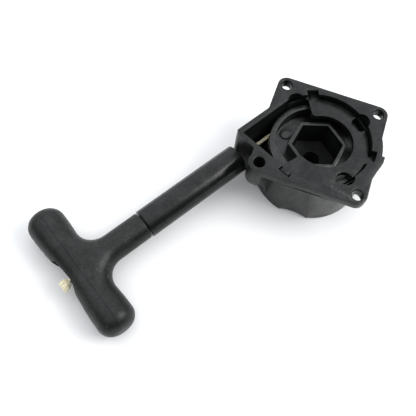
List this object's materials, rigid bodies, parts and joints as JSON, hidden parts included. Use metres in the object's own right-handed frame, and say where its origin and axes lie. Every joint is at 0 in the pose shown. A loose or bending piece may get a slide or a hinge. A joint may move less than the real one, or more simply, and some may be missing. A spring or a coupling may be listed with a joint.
{
  "type": "recoil starter",
  "caption": "Black plastic pull starter for a small model engine: round bowl with a square screw flange, rope pulley with a hex drive socket, guide tube and T-handle on a rope.",
  "frame": {"origin": "centre of the four screw holes, on the mounting face", "axes": "+Z out of the open side, along the pulley's axis; +X and +Y along the sides of the square flange, with the rope leaving towards -X and -Y"},
  "size_m": [0.1001, 0.0991, 0.022],
  "materials": {
    "housing_plastic": "satin moulded nylon",
    "plate_plastic": "satin moulded nylon",
    "pulley_plastic": "satin moulded nylon",
    "tube_plastic": "satin extruded tube",
    "handle_plastic": "satin moulded grip",
    "rope": "twisted starter rope",
    "spring_steel": "blued spring strip"
  },
  "bodies": {
    "housing": {"housing": "housing_plastic", "retaining_plate": "plate_plastic", "recoil_spring": "spring_steel", "rope_feed": "rope"},
    "pulley": {"pulley": "pulley_plastic", "drive_socket": "pulley_plastic", "rope_winding": "rope"},
    "guide_tube": {"guide_tube": "tube_plastic"},
    "rope_end": {"rope_run": "rope", "rope_knot": "rope"},
    "handle": {"handle": "handle_plastic"}
  },
  "joints": [
    {"name": "tube_tilt", "type": "hinge", "parent": "housing", "child": "guide_tube", "pos_m": [-0.02319, -0.00912, -0.01212], "axis": [-0.8499, 0.527, 0], "range_deg": [0, 8]},
    {"name": "handle_pull", "type": "slide", "parent": "guide_tube", "child": "rope_end", "axis": [-0.5261, -0.8486, -0.0558], "range_m": [0, 0.4], "stiffness_N_per_m": 8, "springref_m": -0.06, "deforming": ["rope_run"]},
    {"name": "handle_turn", "type": "hinge", "parent": "rope_end", "child": "handle", "pos_m": [-0.05725, -0.06406, -0.01573], "axis": [-0.5261, -0.8486, -0.0558], "continuous": true},
    {"name": "pulley_spin", "type": "hinge", "parent": "housing", "child": "pulley", "pos_m": [0, 0, 0], "axis": [0, 0, 1], "range_deg": [0, 1540], "deforming": ["recoil_spring"]}
  ],
  "couplings": [
    {"joint": "pulley_spin", "follows": "handle_pull", "rad_per_m": 67.114}
  ]
}
